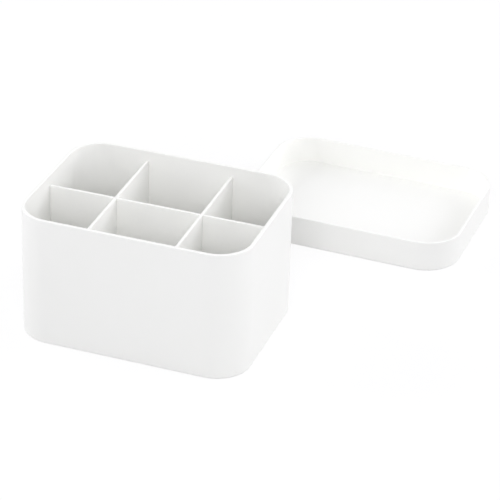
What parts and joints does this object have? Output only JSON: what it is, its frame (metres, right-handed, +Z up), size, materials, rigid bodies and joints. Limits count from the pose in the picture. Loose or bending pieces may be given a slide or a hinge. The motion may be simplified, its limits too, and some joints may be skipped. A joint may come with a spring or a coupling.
{
  "type": "storage case",
  "caption": "Open white plastic box with rounded corners, a lift-out grid of crossing dividers and a shallow cap lid that lies upside down beside it.",
  "frame": {"origin": "centre of the box's underside, on the surface that it stands on", "axes": "+X along the box's long side to the viewer's right, +Y from its front to its back, +Z up"},
  "size_m": [0.2514, 0.3152, 0.0925],
  "materials": {
    "box_plastic": "satin white moulded plastic",
    "divider_plastic": "satin white moulded plastic, thin plate",
    "lid_plastic": "satin white moulded plastic"
  },
  "bodies": {
    "box": {"storage_box": "box_plastic"},
    "long_plate": {"long_divider": "divider_plastic"},
    "left_plate": {"cross_divider_left": "divider_plastic"},
    "right_plate": {"cross_divider_right": "divider_plastic"},
    "cap": {"lid": "lid_plastic"}
  },
  "joints": [
    {"name": "grid_lift", "type": "slide", "parent": "box", "child": "long_plate", "axis": [0, 0, 1], "range_m": [0, 0.1]},
    {"name": "left_divider_lift", "type": "slide", "parent": "long_plate", "child": "left_plate", "axis": [0, 0, 1], "range_m": [0, 0.1]},
    {"name": "right_divider_lift", "type": "slide", "parent": "long_plate", "child": "right_plate", "axis": [0, 0, 1], "range_m": [0, 0.1]},
    {"name": "lid_lift", "type": "slide", "parent": "box", "child": "cap", "axis": [0, 0, 1], "range_m": [0, 0.15]}
  ]
}
